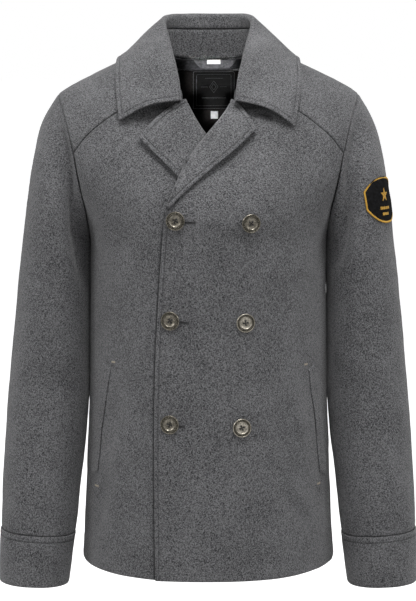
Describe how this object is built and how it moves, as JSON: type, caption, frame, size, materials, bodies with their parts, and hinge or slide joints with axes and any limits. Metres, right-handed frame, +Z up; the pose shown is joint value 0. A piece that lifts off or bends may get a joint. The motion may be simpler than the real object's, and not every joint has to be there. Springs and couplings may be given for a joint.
{
  "type": "double-breasted pea coat",
  "caption": "Short double-breasted wool coat with wide notched collar, shoulder yokes, welt pockets and cuffed sleeves, in its hollow worn shape.",
  "frame": {"origin": "middle of the neck base, level with the shoulder seams at the neck, where the wearer's shoulders carry the coat", "axes": "+Z up, -Y towards the front, +X towards the wearer's left"},
  "size_m": [0.5858, 0.3091, 0.7902],
  "materials": {
    "coat_wool": "heather grey melton wool, matt",
    "button_metal": "aged dark brass, satin",
    "lining_cloth": "black satin lining",
    "label_cloth": "black woven label",
    "size_tag_cloth": "pale grey woven tag",
    "loop_tape": "grey satin tape",
    "white_tape": "white woven tape",
    "badge_cloth": "black twill patch, gold embroidery"
  },
  "bodies": {
    "root": {"front_left": "coat_wool", "front_right": "coat_wool", "back": "coat_wool", "yoke_left": "coat_wool", "yoke_right": "coat_wool", "sleeve_top_left": "coat_wool", "sleeve_under_left": "coat_wool", "cuff_left": "coat_wool", "sleeve_top_right": "coat_wool", "sleeve_under_right": "coat_wool", "cuff_right": "coat_wool", "collar_stand": "coat_wool", "collar_fall": "coat_wool", "lapel_left": "coat_wool", "lapel_right": "coat_wool", "pocket_welt_left": "coat_wool", "pocket_welt_right": "coat_wool", "button_lap_top": "button_metal", "button_lap_middle": "button_metal", "button_lap_bottom": "button_metal", "button_inner_top": "button_metal", "button_inner_middle": "button_metal", "button_inner_bottom": "button_metal", "neck_facing": "coat_wool", "lining_back": "lining_cloth", "neck_label": "label_cloth", "size_tag": "size_tag_cloth", "hanger_loop": "loop_tape", "loop_tag": "white_tape", "sleeve_badge": "badge_cloth"}
  },
  "joints": []
}
